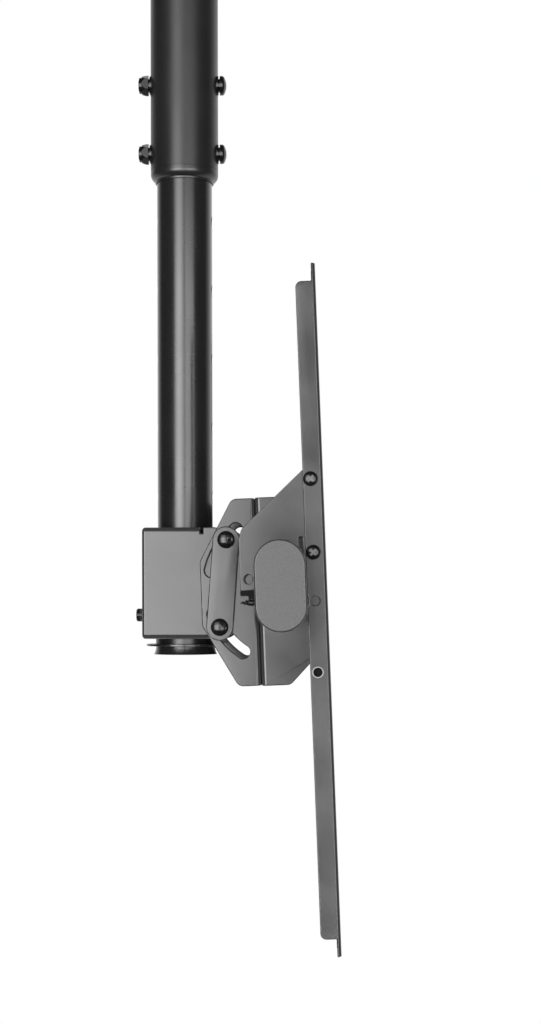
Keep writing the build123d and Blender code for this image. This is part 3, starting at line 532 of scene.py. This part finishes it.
def screw_axes(mesh, tops):
    """Where each screw's axis is, from the rims of the heads, as X and Z."""
    rims = [v.co for v in mesh.vertices if min(abs(v.co.y - top) for top in tops) < RIM_DEPTH]
    middle = sum(v.z for v in rims) / len(rims)
    axes = []
    for rim in ([v for v in rims if v.z < middle], [v for v in rims if v.z >= middle]):
        across, up = [v.x for v in rim], [v.z for v in rim]
        axes.append(((min(across) + max(across)) / 2, (min(up) + max(up)) / 2))
    return axes


for side in ("left", "right"):
    finish_nodes(black_zinc, "arm_screws_" + side, "arm_nuts_" + side)
    painted_highlight_crosses(side)

# Rivets: hollow rivets through arm and hook. The flange that stands proud of the arm is bright zinc,
# and the bore is painted shade: matt black, as the light doesn't reach it.
# Painted shade: a matt black that stands for the shade in the rivets' bores and under the hooks' fingers.
painted_shade_black = moulded("painted_shade_black", (0.006, 0.006, 0.0062), roughness=0.7, grain=0.00001, specular=0.2)
zinc = bright_metal("bright_zinc", (0.24, 0.24, 0.25), roughness=0.35)
FLANGE_PROUD = 0.0003
for side in ("left", "right"):
    rivets = "arm_rivets_" + side
    finish_nodes(painted_shade_black, rivets)
    mesh = frame["nodes"][rivets].data
    mesh.materials.append(zinc)
    rim_low, rim_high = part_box(rivets)
    for face in mesh.polygons:
        outermost = min(face.center.y - rim_low.y, rim_high.y - face.center.y)
        # Everything below the flange takes the painted shade.
        face.material_index = int(outermost < FLANGE_PROUD)

# Finger strips: matt black strips on the feet of the hooks' fingers, two on each hook.
# They are painted shade: a dark sheet that stands for the shade under the fingers' feet.
SHADE_STRIP_OUT, SHADE_STRIP_IN = 0.0133, 0.0075
SHADE_STRIP_OUTLINE = ((-0.0270, -0.0016), (-0.0146, -0.0016), (-0.0146, -0.0088), (-0.0218, -0.0088),
                 (-0.0218, -0.0050), (-0.0270, -0.0050))
SHADE_STRIP_EDGE = 0.0003
ARM_PLACES = {"left": -0.150, "right": 0.150}


def finger_shade_strip(side):
    """The painted-shade strips of one hook, drawn about the tilt axis and moved to the head."""
    form = bmesh.new()
    for start, end in ((-SHADE_STRIP_OUT, -SHADE_STRIP_IN), (SHADE_STRIP_IN, SHADE_STRIP_OUT)):
        face = form.faces.new([form.verts.new((x, ARM_PLACES[side] + start, z)) for x, z in SHADE_STRIP_OUTLINE])
        moved = bmesh.ops.extrude_face_region(form, geom=[face])["geom"]
        corners = [corner for corner in moved if isinstance(corner, bmesh.types.BMVert)]
        bmesh.ops.translate(form, verts=corners, vec=(0, end - start, 0))
    bmesh.ops.recalc_face_normals(form, faces=form.faces)
    bmesh.ops.bevel(form, geom=form.edges[:], offset=SHADE_STRIP_EDGE, segments=2, affect="EDGES")
    mesh = bpy.data.meshes.new("finger_shade_strip_" + side)
    form.to_mesh(mesh)
    form.free()
    mesh.materials.append(painted_shade_black)
    shade_strip = bpy.data.objects.new("finger_shade_strip_" + side, mesh)
    bpy.context.scene.collection.objects.link(shade_strip)
    settle(to_head(shade_strip), "arm_" + side + "_body")


for side in ARM_PLACES:
    finger_shade_strip(side)

# Camera, as the photograph was taken: level with the head and side on to the television.
# The photograph's vanishing point lies right of and below the picture's middle, which the shift gives.
PICTURE_WIDE, PICTURE_TALL = 541, 1024
FOCAL_PIXELS = 1736
VANISHING = (314.0, 600.0)
CAMERA_AT = (0.0938, -1.267, -0.720)
CAMERA_ROLL = math.radians(0.12)
SENSOR_WIDE = 36
camera_data = bpy.data.cameras.new("photo_camera")
camera_data.sensor_width = SENSOR_WIDE
camera_data.lens = camera_data.sensor_width * FOCAL_PIXELS / PICTURE_TALL
camera_data.shift_x = (PICTURE_WIDE / 2 - VANISHING[0]) / PICTURE_TALL
camera_data.shift_y = (VANISHING[1] - PICTURE_TALL / 2) / PICTURE_TALL
camera = bpy.data.objects.new("photo_camera", camera_data)
camera.location = CAMERA_AT
camera.rotation_euler = (math.pi / 2, CAMERA_ROLL, 0)
bpy.context.scene.collection.objects.link(camera)
bpy.context.scene.camera = camera
bpy.context.scene.view_settings.view_transform = "Standard"

# Studio: a white sheet behind the object, a white floor below, black flags at the sides, and soft boxes.
# The camera sees white all round. Reflections see it in the sheet and in the floor behind the object,
# and a dim grey elsewhere. The grey that lights dull surfaces leaves the floor its shadow.
FLAGS = 0.024
FILL = 0.34
SHEET_FROM, SHEET_TO = 0.29, 0.85
SHEET_TOWARD = (0.087, 0.996, 0)
FLOOR_FROM, FLOOR_TO, FLOOR_WHITE = -0.13, -0.25, 0.6
FAR_FROM, FAR_TO = 0.1, 0.4
world = bpy.data.worlds.new("studio")
bpy.context.scene.world = world
world.use_nodes = True
tree = world.node_tree
tree.nodes.clear()
path = tree.nodes.new("ShaderNodeLightPath").outputs
step(tree, "ShaderNodeTexCoord", {})
toward = tree.nodes[-1].outputs["Generated"]
step(tree, "ShaderNodeVectorMath", {0: toward, 1: SHEET_TOWARD}, operation="DOT_PRODUCT")
behind = tree.nodes[-1].outputs["Value"]
sheet = step(tree, "ShaderNodeMapRange",
             {"Value": behind, "From Min": SHEET_FROM, "From Max": SHEET_TO, "To Min": FLAGS})
step(tree, "ShaderNodeSeparateXYZ", {0: toward})
up = tree.nodes[-1].outputs["Z"]
below = step(tree, "ShaderNodeMapRange",
             {"Value": up, "From Min": FLOOR_FROM, "From Max": FLOOR_TO, "To Max": FLOOR_WHITE})
far_floor = step(tree, "ShaderNodeMapRange", {"Value": behind, "From Min": FAR_FROM, "From Max": FAR_TO})
below = step(tree, "ShaderNodeMath", {0: below, 1: far_floor}, operation="MULTIPLY")
around = step(tree, "ShaderNodeMath", {0: sheet, 1: below}, operation="MAXIMUM")
mirrored = step(tree, "ShaderNodeMath", {0: path["Is Glossy Ray"], 1: path["Is Transmission Ray"]},
                operation="MAXIMUM")
fill = step(tree, "ShaderNodeMath", {0: path["Is Diffuse Ray"], 1: FILL, 2: path["Is Camera Ray"]},
            operation="MULTIPLY_ADD")
seen = step(tree, "ShaderNodeMath", {0: mirrored, 1: around, 2: fill}, operation="MULTIPLY_ADD",
            use_clamp=True)
white = step(tree, "ShaderNodeBackground", {"Color": (1, 1, 1, 1), "Strength": seen})
step(tree, "ShaderNodeOutputWorld", {"Surface": white})


def soft_box(name, place, toward, wide, tall, radiance, mirrored=True):
    """A rectangular soft box that faces a point, as bright as radiance where 1 is white.

    The camera doesn't see it. Shiny surfaces show it only where it is mirrored.
    """
    data = bpy.data.lights.new(name, "AREA")
    data.shape = "RECTANGLE"
    data.size, data.size_y = wide, tall
    data.energy = radiance * wide * tall * math.pi
    lamp = bpy.data.objects.new(name, data)
    lamp.location = place
    lamp.rotation_euler = (Vector(toward) - Vector(place)).to_track_quat("-Z", "Y").to_euler()
    lamp.visible_camera = False
    lamp.visible_glossy = mirrored
    bpy.context.scene.collection.objects.link(lamp)


soft_box("left_low", (-1.235, -3.0, -0.8), (-1.235, 0, -0.8), wide=2.35, tall=2.0, radiance=3.8)
soft_box("left_low_core", (-1.15, -2.9, -0.8), (-1.15, 0, -0.8), wide=1.1, tall=2.0, radiance=2.0)
soft_box("left_high", (-1.28, -3.0, 0.75), (-1.28, 0, 0.75), wide=2.24, tall=1.1, radiance=1.5)
soft_box("left_high_core", (-1.15, -2.9, 0.75), (-1.15, 0, 0.75), wide=1.1, tall=1.1, radiance=0.9)
soft_box("right_low", (1.45, -3.0, -0.8), (1.45, 0, -0.8), wide=2.5, tall=2.0, radiance=3.4)
soft_box("right_high", (1.45, -3.0, 0.75), (1.45, 0, 0.75), wide=2.5, tall=1.1, radiance=0.4)
soft_box("overhead", (0.2, 2.2, 4.5), (0.2, 2.2, -2), wide=9.0, tall=8.0, radiance=1.9, mirrored=False)

# Floor: a plain pale round sheet well below the object, which hangs from a ceiling.
# It is painted matt, keeps the object's shadow, and shows in no reflection.
FLOOR_RADIUS, FLOOR_SIDES = 7.4, 96
FLOOR_AT = (0, -2.0, -2.4)
FLOOR_PALE, FLOOR_MATT = 0.82, 0.8
bpy.ops.mesh.primitive_circle_add(vertices=FLOOR_SIDES, radius=FLOOR_RADIUS, fill_type="NGON",
                                  location=FLOOR_AT)
floor = bpy.context.object
floor.name = "floor"
floor_paint = bpy.data.materials.new("pale_floor")
floor_paint.use_nodes = True
shader = floor_paint.node_tree.nodes["Principled BSDF"]
shader.inputs["Base Color"].default_value = (FLOOR_PALE, FLOOR_PALE, FLOOR_PALE, 1)
shader.inputs["Roughness"].default_value = FLOOR_MATT
floor.data.materials.append(floor_paint)
floor.visible_glossy = False
